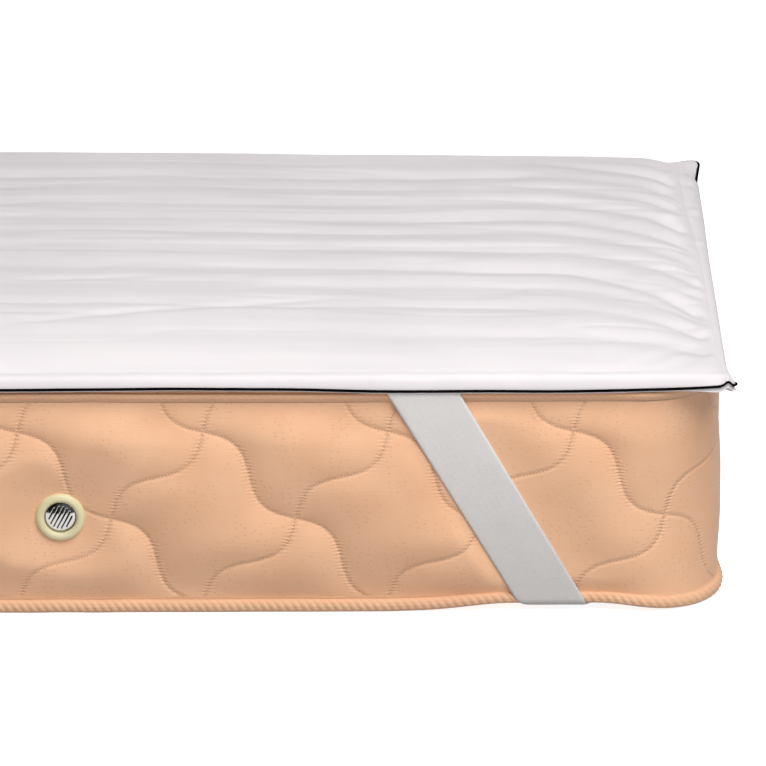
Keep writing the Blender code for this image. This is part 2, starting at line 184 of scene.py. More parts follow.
def light_of(code):
    """The linear red, green, blue and alpha of an sRGB hex colour."""
    shown = np.array([int(code[k:k + 2], 16) for k in (0, 2, 4)]) / 255
    linear = np.where(shown < 0.04045, shown / 12.92, ((shown + 0.055) / 1.055) ** 2.4)
    return (*linear.tolist(), 1.0)


def add(tree, kind, sockets=(), out=None, **settings):
    """A new node with its settings. sockets has values, or other nodes' outputs to link, in
    order or by the socket's name. Returns the first output in use, or the one that out names."""
    made = tree.nodes.new("ShaderNode" + kind)
    for label, value in settings.items():
        setattr(made, label, value)
    in_use = [socket for socket in made.inputs if socket.enabled]
    for label, value in (sockets.items() if isinstance(sockets, dict) else enumerate(sockets)):
        socket = in_use[label] if isinstance(label, int) else next(s for s in in_use if s.name == label)
        if isinstance(value, bpy.types.NodeSocket):
            tree.links.new(value, socket)
        else:
            socket.default_value = value
    return made.outputs[out] if out else next(socket for socket in made.outputs if socket.enabled)


def sine(tree, length, period):
    """The sine of a length, as an output, with its period in the same unit."""
    turns = add(tree, "Math", (length, 2 * np.pi / period), operation="MULTIPLY")
    return add(tree, "Math", (turns,), operation="SINE")


def finish(name, **constants):
    """A material with constants on its Principled shader, and its tree."""
    made = bpy.data.materials.new(name)
    made.use_nodes = True
    shader = made.node_tree.nodes["Principled BSDF"]
    for label, value in constants.items():
        shader.inputs[label.replace("_", " ")].default_value = value
    return made, made.node_tree


def feed(made, **outputs):
    """The same material, with outputs linked to its shader."""
    shader = made.node_tree.nodes["Principled BSDF"]
    for label, output in outputs.items():
        made.node_tree.links.new(output, shader.inputs[label.replace("_", " ")])
    return made


def piece(name, mesh, material, node):
    """Puts a mesh in the scene, smooth, on the one body, in place of its solid."""
    thing = in_scene(name, mesh)
    mesh.materials.append(material)
    mesh.shade_smooth()
    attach(thing, "root")
    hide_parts(node)
    triangles = sum(len(face.vertices) - 2 for face in mesh.polygons)
    print(f"{name}: {triangles} triangles, {[round(side * 1000, 1) for side in thing.dimensions]} mm")
    return thing

# %% [markdown]
# ## Curves that cloth makes
# Cloth has no straight lines and no sudden corners. These functions round a step off,
# let a dent fade out on both sides, run a smooth curve through a few measured points, and
# give the gentle unevenness that filling and sewing leave, always the same because its
# random numbers have a seed.

# %% Helpers for soft shapes
def ease(share):
    """0 up to 0, 1 from 1 on, and 3t^2 - 2t^3 between."""
    share = np.clip(share, 0, 1)
    return share * share * (3 - 2 * share)


def bell(off, width):
    """1 where off is 0, fading out on both sides as exp(-(off / width)^2)."""
    return np.exp(-(off / width) ** 2)


def through(knots, places):
    """A smooth curve through knots (place, value): cubic pieces whose slope at a knot is
    the slope between its neighbours."""
    at, value = np.array(knots, float).T
    slope = np.gradient(value, at)
    k = np.clip(np.searchsorted(at, places, side="right") - 1, 0, len(at) - 2)
    span = at[k + 1] - at[k]
    t = np.clip((places - at[k]) / span, 0, 1)
    rest = 1 - t
    return (value[k] * (1 + 2 * t) * rest ** 2 + slope[k] * span * t * rest ** 2
            + value[k + 1] * (3 - 2 * t) * t ** 2 - slope[k + 1] * span * t ** 2 * rest)


def uneven(x, y, cell_x, cell_y, seed):
    """Relief from -1 to 1: a random height at each corner of a lattice of cells, and eased
    between them. The cells are cell_x by cell_y."""
    heights = np.random.default_rng(seed).uniform(-1, 1, (256, 256))
    u, v = np.broadcast_arrays(x / cell_x, y / cell_y)
    i, j = np.floor(u).astype(int), np.floor(v).astype(int)
    a, b = ease(u - i), ease(v - j)
    near = heights[i % 256, j % 256] * (1 - a) + heights[(i + 1) % 256, j % 256] * a
    far = heights[i % 256, (j + 1) % 256] * (1 - a) + heights[(i + 1) % 256, (j + 1) % 256] * a
    return near * (1 - b) + far * b

# %% [markdown]
# ## White cotton
# The topper's cover is a close plain weave of bleached cotton, washed soft. The eye
# sees no single threads from here, only a matte white with a faint grain, a little
# light caught by the fuzz at the edges of the puffs, and greyer white in the folds.
# Real threads are about 0.3 mm apart; they are drawn 1.1 mm apart, so that they show.

# %% Make the cotton
THREAD = 0.0011
HEM_WIDTH, HEM_STITCH = 0.012, 0.004


def woven_cotton():
    """Two crossed waves, one for each set of threads, and a fine noise as bump. By the rim
    the hem's stitches darken the white, and so does a painted shade for the hem's fold."""
    made, tree = finish("woven_cotton", Roughness=0.9, Sheen_Weight=0.25, Sheen_Roughness=0.5)
    place = add(tree, "TexCoord", out="Object")
    wave = {"Vector": place, "Scale": WAVE / THREAD, "Distortion": 0.6, "Detail": 1.0}
    warp, weft = (add(tree, "TexWave", wave, "Fac", bands_direction=way) for way in "XY")
    threads = add(tree, "Math", (warp, weft), operation="MULTIPLY")
    grain = add(tree, "TexNoise", {"Vector": place, "Scale": 420.0, "Detail": 3.0})
    height = add(tree, "Math", (threads, grain), operation="ADD")
    bump = add(tree, "Bump", {"Height": height, "Strength": 0.5, "Distance": 0.00009})
    cloud = add(tree, "TexNoise", {"Vector": place, "Scale": 9.0, "Detail": 4.0})
    share = add(tree, "MapRange", {"Value": cloud, "From Min": 0.3, "From Max": 0.7})
    white = add(tree, "Mix", (share, light_of("ECE6E8"), light_of("F2ECEC")), data_type="RGBA")
    # The attribute has the distance in from the rim and the length along it.
    hem = add(tree, "Attribute", out="Vector", attribute_name="hem")
    inset, along, _ = add(tree, "SeparateXYZ", (hem,)).node.outputs
    # Stitches on a line at the hem's seam, where a patchy noise lets them show.
    off_seam = add(tree, "Math", (inset, HEM_WIDTH), operation="SUBTRACT")
    beside = add(tree, "Math", (off_seam,), operation="ABSOLUTE")
    line = add(tree, "MapRange", {"Value": beside, "From Min": 0.0011, "From Max": 0.0004})
    beat = sine(tree, along, HEM_STITCH)
    hole = add(tree, "MapRange", {"Value": beat, "From Min": -0.2, "From Max": 0.6, "To Min": 0.25})
    some = add(tree, "MapRange", {"Value": cloud, "From Min": 0.42, "From Max": 0.58, "To Min": 0.15})
    stitch = 0.20
    for mask in (line, hole, some):
        stitch = add(tree, "Math", (mask, stitch), operation="MULTIPLY")
    # Painted shade for the hem's fold: the white darkens towards the rim over its last 11 mm.
    edge = add(tree, "MapRange", {"Value": inset, "From Min": 0.011, "From Max": 0.0, "To Max": 0.20})
    stitch_and_painted_shade = add(tree, "Math", (stitch, edge), operation="MAXIMUM")
    colour = add(tree, "Mix", (stitch_and_painted_shade, white, light_of("ABA4A7")), data_type="RGBA")
    return feed(made, Base_Color=colour, Normal=bump)


cotton = woven_cotton()
print(cotton.name)

# %% [markdown]
# ## The topper's shape
# Laid out flat, the cover is a rectangle. From its rim inward come the hem, which rolls
# up from the piping to a stitched seam, and then the filled field, which rises quickly
# at its shoulder and slowly to its crown. At the corners the hem sticks out in small
# ears. At the ends it is wider towards the back and rolls over the piping. A grid,
# finest at the hem, is bent into that form, and the sewn channels are pressed into it.

# %% Sizes of the topper
OVERHANG = 0.007                       # of the rim past the border
RIM_X, RIM_Y = HALF_LENGTH + OVERHANG, HALF_WIDTH + OVERHANG
BASE = PANEL + 0.0003                  # the flat underside
SEAM_RISE, CROWN_RISE = 0.0162, 0.0402
RIM_RISE, RIM_THICK = 0.0019, 0.0030
# Through the hem, by the flat distance in from the rim: how far in it hangs, and its rise.
HEM_SHIFT = ((0, 0), (0.0025, 0.0009), (0.005, 0.0022), (0.008, 0.0054), (HEM_WIDTH, HEM_WIDTH))
HEM_LIFT = ((0, 0), (0.0025, 0.30), (0.005, 0.62), (0.008, 0.88), (HEM_WIDTH, 1))
# How wide the hem of an end is, by y, in hem widths.
END_HEM = ((-0.36, 0.75), (-0.28, 0.60), (-0.10, 0.70), (0.05, 0.80), (0.20, 1.35), (0.36, 1.45))
EAR, EAR_RUN, EAR_TIP = 0.0055, 0.030, 0.010
# The grid's steps: how far in from the rim each goes, and the step.
INSETS_X = ((HEM_WIDTH, 0.0012), (0.060, 0.0028), (0.200, 0.0045), (RIM_X, 0.0085))
INSETS_Y = ((HEM_WIDTH, 0.0012), (RIM_Y, 0.0029))


def stations(runs, half):
    """Places from one rim to the other."""
    insets, start = [], 0.0
    for end, step in runs:
        insets.append(np.linspace(start, end, round((end - start) / step), endpoint=False))
        start = end
    near = np.concatenate(insets) - half
    return np.concatenate([near, [0.0], -near[::-1]])


flat_x, flat_y = stations(INSETS_X, RIM_X), stations(INSETS_Y, RIM_Y)
print(len(flat_x), "columns and", len(flat_y), "rows")

# %% [markdown]
# ## The channels
# Lines of sewing run the length of the topper and hold the filling in place. They
# aren't straight: near each end the filling slides down and takes them towards the
# front. Each line has a place, a pull at the ends and a depth of its own, and the same
# curve for all of them does the rest. Slack folds that came in use cross them at a slant.

# %% Press the channels in
CHANNELS = (                           # place across, pull at the ends, depth; in mm
    (306, -14, 2.8), (273, -25, 3.4), (224, -30, 4.1), (185, -38, 3.4), (132, -45, 3.9),
    (77, -50, 5.1), (33, -62, 4.1), (-21, -68, 3.7), (-83.5, -105, 5.5), (-134, -78, 4.1),
    (-191, -60, 4.2), (-270, -30, 2.9), (-155, -88, 1.8),
)


def channel_relief(x, y):
    """How far the sewing lines press the cloth down. Across a line the dent is a narrow
    crease, which comes and goes, plus a wide hollow: D (c exp(-d / 4 mm) +
    0.7 exp(-(d / 17 mm)^2)). From 150 mm before the end the line bends by its pull, more
    and more. Before that the back ones swell 10 mm the other way."""
    end = np.abs(x)
    drag = np.clip((end - 0.80) / 0.145, 0, 1.1) ** 1.7
    swell = 10 * bell(end - 0.79, 0.07)
    strong = 0.5 + 0.5 * bell(end - 0.82, 0.20) + 0.5 * bell(end - 0.925, 0.02)
    total = np.zeros(np.broadcast(x, y).shape)
    for number, (across, pull, depth) in enumerate(CHANNELS):
        wander = 4 * uneven(x, 0.5, 0.15, 1.0, 10 + number) + 1.2 * uneven(x, 0.5, 0.045, 1.0, 40 + number)
        line = (across + pull * drag + swell * (across > 0) + wander) / 1000
        deep = depth / 1000 * strong * (0.9 + 0.65 * uneven(x, 0.5, 0.12, 1.0, 70 + number))
        crease = 0.32 * ease(0.55 + 0.8 * uneven(x, 0.5, 0.07, 1.0, 100 + number))
        off = np.abs(y - line)
        total += deep * (crease * np.exp(-off / 0.004) + 0.7 * bell(off, 0.017))
    return total


FOLDS = (                              # from x, y to x, y in metres, and a depth in mm
    (0.26, -0.253, 0.62, -0.165, 1.5), (0.27, -0.126, 0.43, -0.113, 1.3),
    (-0.50, -0.150, -0.15, -0.205, 1.4), (-0.62, 0.070, -0.34, 0.105, 1.2),
    (0.02, 0.140, 0.33, 0.118, 1.2), (-0.10, -0.060, 0.16, -0.030, 1.2),
)


def fold_relief(x, y):
    """Each fold is a dent D exp(-(d / 6 mm)^2) beside a straight line, dying away towards
    its two ends."""
    total = np.zeros(np.broadcast(x, y).shape)
    for number, (x0, y0, x1, y1, depth) in enumerate(FOLDS):
        length = np.hypot(x1 - x0, y1 - y0)
        along = ((x - x0) * (x1 - x0) + (y - y0) * (y1 - y0)) / length ** 2
        off = ((y - y0) * (x1 - x0) - (x - x0) * (y1 - y0)) / length
        off += 0.002 * uneven(x, 0.5, 0.05, 1.0, 130 + number)
        total += depth / 1000 * bell(off, 0.006) * ease(along / 0.3) * ease((1 - along) / 0.3)
    return total


print(len(CHANNELS), "lines of sewing and", len(FOLDS), "folds")

# %% [markdown]
# ## The topper's skin
# The rim, the field and the hem each have a function of their own for their height.
# The last function bends the flat grid by them, and draws it in as the hem hangs. The
# unevenness takes a step from a side to an end, since the cloth is sewn anew there.

# %% Shape the topper
def crown(in_x, in_y, y):
    """How far the filling has risen, from 0 at the seam to 1: in each direction a quick
    rise over 14 to 50 mm, gentlest at the front, and a slow one over 100 to 120 mm, and
    the two directions multiplied. Away from the ends it rises a seventh more."""
    def rise(inset, quick, over, slow):
        inset = np.maximum(inset - HEM_WIDTH, 0)
        return 1 - quick * np.exp(-inset / over) - (1 - quick) * np.exp(-inset / slow)
    back = ease((y + 0.1) / 0.25)
    fuller = 1 + 0.14 * ease((in_x - 0.32) / 0.28)
    along = rise(in_x, 0.52 + 0.14 * back, 0.022 - 0.008 * back, 0.12)
    return fuller * along * rise(in_y, 0.30 + 0.62 * back, 0.050 - 0.036 * back, 0.10 + 0.02 * back)


def ear_reach(in_x, in_y):
    """How far an ear moves the cloth outward along X and along Y, with its tip rounded."""
    reach = EAR * bell(np.hypot(in_x, in_y), EAR_RUN)
    deep_x, deep_y = 1 - in_x / EAR_TIP, 1 - in_y / EAR_TIP
    squeeze = np.where(np.minimum(deep_x, deep_y) > 0,
                       1 - np.maximum(deep_x, deep_y) / np.maximum(np.hypot(deep_x, deep_y), 1e-9), 0)
    return reach - squeeze * deep_x * EAR_TIP, reach - squeeze * deep_y * EAR_TIP


def rolled_over(in_y, y):
    """1 along the ends, where the rim rolls over the piping, and 0 at the long sides and
    the ears, of which the back ones reach further in."""
    return ease((in_y - 0.003 - 0.040 * (y > 0)) / 0.010)


def rim_height(x, y, in_x, in_y):
    """The rim's upper edge: uneven, curled up at the ears, at the back ones most, and
    pulled down on the long sides where the straps are sewn on."""
    sway = uneven(np.where(in_x < in_y, y, x), in_x - in_y, 0.09, 0.9, 14)
    curl = np.where(y > 0, 0.0095, 0.0035) * bell(in_x + in_y, EAR_RUN)
    pulled = 0.0010 * ease((in_x - 0.36) / 0.16) - 0.0024 * np.exp(-((in_x - 0.215) / 0.145) ** 4)
    return RIM_RISE + RIM_THICK + curl + 0.0008 * sway + pulled * (in_y < in_x)


def field_relief(x, y, in_x, in_y):
    """Inside the seam: a slow unevenness and patches of small wrinkles, less the channels,
    the slack folds, and creases along the channels, which are sharpest at the ends."""
    slow = 0.0011 * uneven(x, y, 0.21, 0.09, 6)
    patches = ease(0.5 + 0.9 * uneven(x, y, 0.17, 0.07, 17))
    small = 0.00032 * uneven(x + 1.2 * y, y, 0.075, 0.0095, 18) * patches
    sewn = (channel_relief(x, y) + fold_relief(x, y)) * ease((in_y - HEM_WIDTH) / 0.05)
    crease = (1 - np.abs(uneven(x + 0.3 * y, y, 0.13, 0.023, 5))) ** 4 * ease((in_y - 0.02) / 0.08)
    creased = 0.0007 * (1 + 1.3 * np.exp(-in_x / 0.12)) * crease
    return (slow + small - sewn - creased) * ease((np.minimum(in_x, in_y) - HEM_WIDTH) / 0.016)


def hem_relief(x, y, in_x, in_y):
    """At the seam: puckers just inside it, a line pinched by its stitches, and bumps on the
    hem's roll, largest at the back of the ends. The front ears have a small point."""
    at_end, side_or_end = in_x < in_y, in_x - in_y
    along, inset = np.where(at_end, y, x), np.minimum(in_x, in_y)
    end_pucker = 0.0021 * uneven(x, y + 0.9 * in_x, 0.045, 0.017, 7)
    end_pucker *= np.exp(-np.maximum(in_x - HEM_WIDTH, 0) / 0.035)
    side_pucker = 0.0005 * uneven(x + 0.4 * in_y, y, 0.014, 0.04, 8)
    side_pucker *= np.exp(-np.maximum(in_y - HEM_WIDTH, 0) / 0.010)
    pinch = 0.0003 + 0.0005 * uneven(along, side_or_end, 0.02, 0.5, 16) + 0.0008 * at_end
    pinch *= bell(inset - HEM_WIDTH, 0.0022)
    bumps = 0.0005 * uneven(along, side_or_end, 0.008, 0.5, 9)
    bumps += 0.0019 * uneven(y, side_or_end, 0.015, 0.5, 15) * at_end * ease((y + 0.1) / 0.3)
    roll = np.sin(np.pi * np.clip(inset / HEM_WIDTH, 0, 1)) ** 2
    point = 0.0042 * (y < 0) * bell(in_x - 0.008, 0.0042) * bell(in_y, 0.006)
    return (end_pucker + side_pucker) * ease((inset - HEM_WIDTH) / 0.006) - pinch + bumps * roll + point


def topper_top():
    """The top cloth as a grid of points, from rim to rim, and for each point its distance
    in from the rim and its place along it."""
    x, y = np.meshgrid(flat_x, flat_y, indexing="ij")
    in_x, in_y = RIM_X - np.abs(x), RIM_Y - np.abs(y)
    flat, inset = (x, y, in_x, in_y), np.minimum(in_x, in_y)
    rim_top, filled = rim_height(*flat), SEAM_RISE + (CROWN_RISE - SEAM_RISE) * crown(in_x, in_y, y)
    height = np.where(inset < HEM_WIDTH, rim_top + (SEAM_RISE - rim_top) * through(HEM_LIFT, inset), filled)
    height += field_relief(*flat) + hem_relief(*flat)
    # The hem is drawn in, but for the ears, and at the ends it is rolled over and widened.
    flat_ear = bell(in_x + in_y, EAR_RUN)
    hung_x, hung_y = (near + (through(HEM_SHIFT, near) - near) * (near < HEM_WIDTH) * (1 - flat_ear)
                      for near in (in_x, in_y))
    hung_x -= 0.0029 * rolled_over(in_y, y) * np.maximum(1 - in_x / HEM_WIDTH, 0)
    wider = through(END_HEM, y)
    past_hem = hung_x + HEM_WIDTH * (wider - 1) * np.exp(-(in_x - HEM_WIDTH) / 0.05)
    hung_x = np.where(in_x < HEM_WIDTH, hung_x * wider, past_hem)
    out_x, out_y = ear_reach(in_x, in_y)
    points = [np.sign(x) * (RIM_X - hung_x + out_x), np.sign(y) * (RIM_Y - hung_y + out_y), BASE + height]
    return np.stack(points, -1), np.stack([inset, np.where(in_x < in_y, y, x)], -1)


top, top_values = topper_top()
print("crown", round(top[..., 2].max() * 1000, 1), "mm above the floor")

# %% [markdown]
# ## Round the rim and under
# From the rim the cover turns down behind the piping, comes out again as a thin lip of
# the lower cloth, and runs in to the flat underside. Those are rings round the grid's
# edge, each a set distance out from the rim and up from its lower edge.

# %% Close the topper
LIP = ((-0.0002, -0.0015), (0.0006, -0.0029), (0.0014, -0.0032), (0.0014, -0.0038), (0.0002, -0.0042))
UNDER = ((0.006, 0.0006), (0.012, 0.0))      # inset and height over the base


def outward(path):
    """The level direction out of a closed anticlockwise path at each of its points."""
    ahead_of = np.roll(path, -1, 0) - np.roll(path, 1, 0)
    out = np.stack([ahead_of[:, 1], -ahead_of[:, 0], np.zeros(len(path))], -1)
    return out / np.linalg.norm(out, axis=1, keepdims=True)


def topper_mesh():
    """The top grid, the rings round and under its edge, and one flat cap. Below the ears
    the lip sags, and where the rim rolls over it is tucked in 3 mm."""
    rim = top.reshape(-1, 3)[rim_order(*top.shape[:2])]
    out = outward(rim)
    in_x, in_y = RIM_X - np.abs(rim[:, 0]), RIM_Y - np.abs(rim[:, 1])
    sag = 0.0035 * bell(in_x + in_y, 0.025)
    tuck = 0.003 * rolled_over(in_y, rim[:, 1])
    rings = []
    for reach, drop in LIP:
        ring = rim + out * (reach - tuck)[:, None]
        ring[:, 2] += drop - sag
        rings.append(ring)
    for inset, height in UNDER:
        rings.append(rim * [1 - inset / RIM_X, 1 - inset / RIM_Y, 0] + [0, 0, BASE + height])
    return sheet_on_rings("quilted_topper", top, rings, "hem", top_values, 1.0), rim, out


topper_data, rim_line, rim_out = topper_mesh()
topper = piece("quilted_topper", topper_data, cotton, "topper")

# %% [markdown]
# ## The piping
# A thin cord in a strip of black cloth cut on the slant, sewn into the rim. Cut that
# way it bends round the ears without wrinkling, and its weave runs across it at 45
# degrees. The finish is matte black with a faint slanted rib.

# %% Make and place the piping
PIPING_RADIUS, PIPING_POINTS = 0.0013, 10


def black_bias_cloth():
    """Slanted ribs from the length along the cord plus the way round it, as bump and as two
    near blacks."""
    made, tree = finish("black_bias_cloth", Roughness=1.0, Specular_IOR_Level=0.05)
    run = add(tree, "Attribute", out="Vector", attribute_name="run")
    ribs = add(tree, "TexWave", {"Vector": run, "Scale": WAVE / 0.0009}, "Fac", bands_direction="DIAGONAL")
    colour = add(tree, "Mix", (ribs, light_of("020102"), light_of("070507")), data_type="RGBA")
    bump = add(tree, "Bump", {"Height": ribs, "Strength": 0.6, "Distance": 0.0001})
    return feed(made, Base_Color=colour, Normal=bump)


def lengths(path):
    """The distance along a closed path at each point, and once more where it comes round."""
    steps = np.linalg.norm(np.roll(path, -1, 0) - path, axis=1)
    return np.concatenate([[0.0], np.cumsum(steps)])


def piping_mesh():
    """A circle of points carried along the rim, half way up its thickness, and in under it
    where the rim rolls over."""
    run = lengths(rim_line)
    wave = 0.00025 * uneven(run[:-1], 0.5, 0.06, 1.0, 12)
    tuck = rolled_over(RIM_Y - np.abs(rim_line[:, 1]), rim_line[:, 1])
    centre = rim_line + rim_out * (PIPING_RADIUS + 0.0003 - 0.0036 * tuck)[:, None]
    centre[:, 2] += wave - RIM_THICK / 2 - 0.0006 * tuck
    turn = np.linspace(0, 2 * np.pi, PIPING_POINTS, endpoint=False)
    rings = (centre[:, None] + PIPING_RADIUS * np.cos(turn)[:, None] * rim_out[:, None]
             + PIPING_RADIUS * np.sin(turn)[:, None] * np.array([0, 0, 1]))
    round_it = np.linspace(0, 2 * np.pi * PIPING_RADIUS, PIPING_POINTS + 1)
    values = np.stack(np.meshgrid(run, round_it, indexing="ij"), -1)
    return tube("rim_piping", rings, True, {"run": values})


piping = piece("rim_piping", piping_mesh(), black_bias_cloth(), "piping")

# %% [markdown]
# ## The mattress
# Its border is a band of quilted knit round the four sides. To know where a point of
# the band lies, its length along the border is turned into a place in plan: the middle
# of a rolling circle moves along a smaller rectangle and stops at its corners while the
# circle turns there. The quilting is drawn in the same two coordinates, length and
# height, so it runs on round the corners.

# %% Plan of the border
CORNER, TIGHTEST = 0.080, 0.02          # radius of the corners, and the least one further in
STRAIGHT_X, STRAIGHT_Y = HALF_LENGTH - CORNER, HALF_WIDTH - CORNER
ARC = np.pi / 2 * CORNER
SIDES = np.cumsum([0, 2 * STRAIGHT_X, ARC, 2 * STRAIGHT_Y, ARC, 2 * STRAIGHT_X, ARC, 2 * STRAIGHT_Y, ARC])
AROUND = SIDES[-1]


def border(run, out):
    """Points of the border at a length along it, from the left end of the front side and
    anticlockwise, moved out by some distance. Where the circle would get too tight it
    stays as it is, and the rectangle shrinks."""
    angle = -np.pi / 2 + sum(np.clip((run - SIDES[k]) / CORNER, 0, np.pi / 2) for k in (1, 3, 5, 7))
    gone = [np.clip(run - SIDES[k], 0, SIDES[k + 1] - SIDES[k]) for k in (0, 2, 4, 6)]
    middle_x, middle_y = (gone[0] - gone[2]) / STRAIGHT_X - 1, (gone[1] - gone[3]) / STRAIGHT_Y - 1
    radius = np.maximum(CORNER + out, TIGHTEST)
    reach_x, reach_y = HALF_LENGTH + out - radius, HALF_WIDTH + out - radius
    facing = np.stack([np.cos(angle), np.sin(angle)], -1)
    x = middle_x * np.minimum(reach_x, STRAIGHT_X) + radius * facing[..., 0]
    y = middle_y * np.minimum(reach_y, STRAIGHT_Y) + radius * facing[..., 1]
    return x, y, facing


print("the border is", round(AROUND, 3), "m round")

# %% [markdown]
# ## The quilting
# Two families of wavy seams cross each other: the ogee, one of the oldest quilting
# patterns. One family runs down to the right and lies level where it crosses, the other
# runs down to the left and stands upright there. Each seam is a sine wave about its own
# diagonal, so a whole family is where a simple phase is a whole number, and the distance
# to the nearest seam follows from that phase and its slope.

# %% Draw the ogee seams
WAVES = 29                              # ogees round the whole border
HALF_WAVE = AROUND / WAVES / 2          # 87 mm
ROW = 0.0852                            # between two levels where seams cross
CROSS_RUN = HALF_LENGTH - CORNER + 0.46275
CROSS_HEIGHT = 0.0096
SWING = 0.20                            # of a seam about its diagonal, in spacings


def seam_distances(run, height):
    """For each family of seams: the signed distance to the nearest one, how steep it is,
    from 0, level, to 1, upright, and the wave that gives both. With t and w the place in
    spacings along and up, the falling seams are where t + w - SWING sin(pi (t - w)) is an
    even number. The sine of half pi times that is the wave, zero on a seam; divided by
    its slope it is a distance there."""
    t = (run - CROSS_RUN) / HALF_WAVE
    w = (height - CROSS_HEIGHT) / ROW
    found = []
    for sign in (1, -1):
        along = np.pi * (t - sign * w)
        phase = np.pi / 2 * (t + sign * w - sign * SWING * np.sin(along))
        bend = sign * np.pi * SWING * np.cos(along)
        slope = np.pi / 2 * np.hypot((1 - bend) / HALF_WAVE, (1 + bend) / ROW)
        found.append((np.sin(phase) / slope, np.pi / 2 * (1 - bend) / HALF_WAVE / slope, np.sin(phase)))
    return found


print("seams cross every", round(HALF_WAVE * 1000, 1), "mm along and", ROW * 1000, "mm up")

# %% [markdown]
# ## Puffs, vents and straps in the ticking
# Between the seams the wadding puffs the knit up. The whole band also bulges a little
# between its tapes. Two things press it flat: the vents, which are riveted through it,
# and the straps, which lie across it.

# %% Shape the ticking
STRAP_TOP = (0.3148, 0.2465)           # a strap's edges at the topper, in from the corner
STRAP_LOW = (0.192, 0.127)             # and at the lower tape
VENT_RUN_IN, VENT_HEIGHT = 0.622, 0.0955
PUFF, BULGE, BEHIND_STRAP = 0.0118, 0.0040, 0.0049
BAND_LOW, BAND = 0.014, 0.194          # the border between its tapes: from where, how tall


def from_corner(run):
    """The distance along the nearest side from the nearest corner of the full rectangle,
    which is below the radius in a rounded corner."""
    x, y, _ = border(run, 0.0)
    return np.maximum(HALF_LENGTH - np.abs(x), HALF_WIDTH - np.abs(y))


def near_corner(run):
    """1 in a rounded corner, falling to 0 along the sides."""
    return 1 - ease((from_corner(run) - 0.035) / 0.09)


def corner_push(run, height):
    """The filling pushes the border out at the corners, most at the tapes."""
    off_middle = (height - 0.10) / 0.1
    return near_corner(run) * (0.0014 + np.where(off_middle < 0, 0.0051, 0.0026) * off_middle ** 2)


def strap_shade(run, height):
    """1 behind a strap, falling to 0 beside it: over 20 mm away from the corner, over
    100 mm towards it."""
    down = np.clip((PANEL - height) / (PANEL - BAND_LOW), 0, 1)
    far, near = (high + (low - high) * down for high, low in zip(STRAP_TOP, STRAP_LOW))
    return 1 - ease(np.maximum((from_corner(run) - far) / 0.020, (near - from_corner(run)) / 0.100))


def vent_limit(run, height):
    """How high the knit may stand near a vent: nothing behind the disc, 1.2 mm under the
    ring, and 2.2 mm more for every 10 mm away from it. The ends have no vent."""
    x, _, facing = border(run, 0.0)
    off = np.hypot(np.abs(x) - (HALF_LENGTH - VENT_RUN_IN), height - VENT_HEIGHT)
    off += 10 * (np.abs(facing[..., 1]) < 0.99)
    return 0.0012 * ease((off - 0.016) / 0.004) + 0.22 * np.maximum(off - 0.0236, 0)


def ticking_relief(run, height):
    """How far the knit stands out of the border's plane. A puff is the two waves of the
    seams multiplied: |falling|^0.75 (1 - 0.4 (1 - |rising|)^2), so that it slopes widely to
    the falling seams and has no more than a dip at the rising ones. Add a bulge between the
    tapes, take two fifths away at the ends, and add the corners' push. Behind a strap
    nothing stands higher than 4.9 mm. Near a vent it is the soft minimum of the relief and
    its limit there: half of their sum less the root of their squared difference and 2 mm
    squared."""
    (_, _, falling), (_, _, rising) = seam_distances(run, height)
    between = np.clip((height - BAND_LOW) / BAND, 0, 1)
    fade = (1 - (1 - np.clip(between / 0.34, 0, 1)) ** 2) * ease((1 - between) / 0.21)
    puff = np.abs(falling) ** 0.75 * (1 - 0.4 * (1 - np.abs(rising)) ** 2) * fade
    bulge = 4 * between * (1 - between)
    tight = near_corner(run)
    _, _, facing = border(run, 0.0)
    relief = PUFF * puff * (1 - 0.85 * tight) + BULGE * bulge * (1 - tight)
    relief = relief * (1 - 0.42 * facing[..., 0] ** 2) + 0.0005 * uneven(run, height, 0.05, 0.04, 21) * bulge
    relief += (np.minimum(relief, BEHIND_STRAP) - relief) * strap_shade(run, height)
    limit = vent_limit(run, height)
    soft = np.sqrt((relief - limit) ** 2 + 0.002 ** 2)
    return (relief + limit - soft) / 2 + corner_push(run, height)


probe = ticking_relief(np.linspace(0, AROUND, 2000)[:, None], np.linspace(0.02, 0.2, 60))
print("the knit stands out", round(probe.max() * 1000, 1), "mm at most")

# %% [markdown]
# ## Where a strap lifts the edge
# A strap goes under the mattress and presses a shallow groove into its underside, so
# the lower edge and its tape are pulled up there.

# %% Build the mattress's skin
COLUMNS, SIDE_LEVELS = 1300, 58
GROOVE, GROOVE_AT = 0.0084, 0.153      # how deep, and where: in from two sides, added up
LIFT, LIFT_AT, LIFT_HALF, LIFT_RUN = 0.0060, 0.156, 0.040, 0.060
UNDER_INSETS = (0.20, 0.16, 0.13, 0.105, 0.085, 0.066, 0.05, 0.036, 0.024, 0.014, 0.006)
ROUNDED = 0.006                        # the edges between the border and the panels


def strap_pull(run):
    """1 where a strap passes, dying away on both sides of it."""
    beyond = np.maximum(0, np.abs(from_corner(run) - LIFT_AT) - LIFT_HALF)
    return bell(beyond, LIFT_RUN)


def groove(x, y):
    """How deep the underside is pressed: a slanted trough across each corner."""
    in_x, in_y = HALF_LENGTH - np.abs(x), HALF_WIDTH - np.abs(y)
    off = np.abs(in_x + in_y - GROOVE_AT) / np.sqrt(2)
    return GROOVE * (1 - ease((off - 0.023) / 0.007))


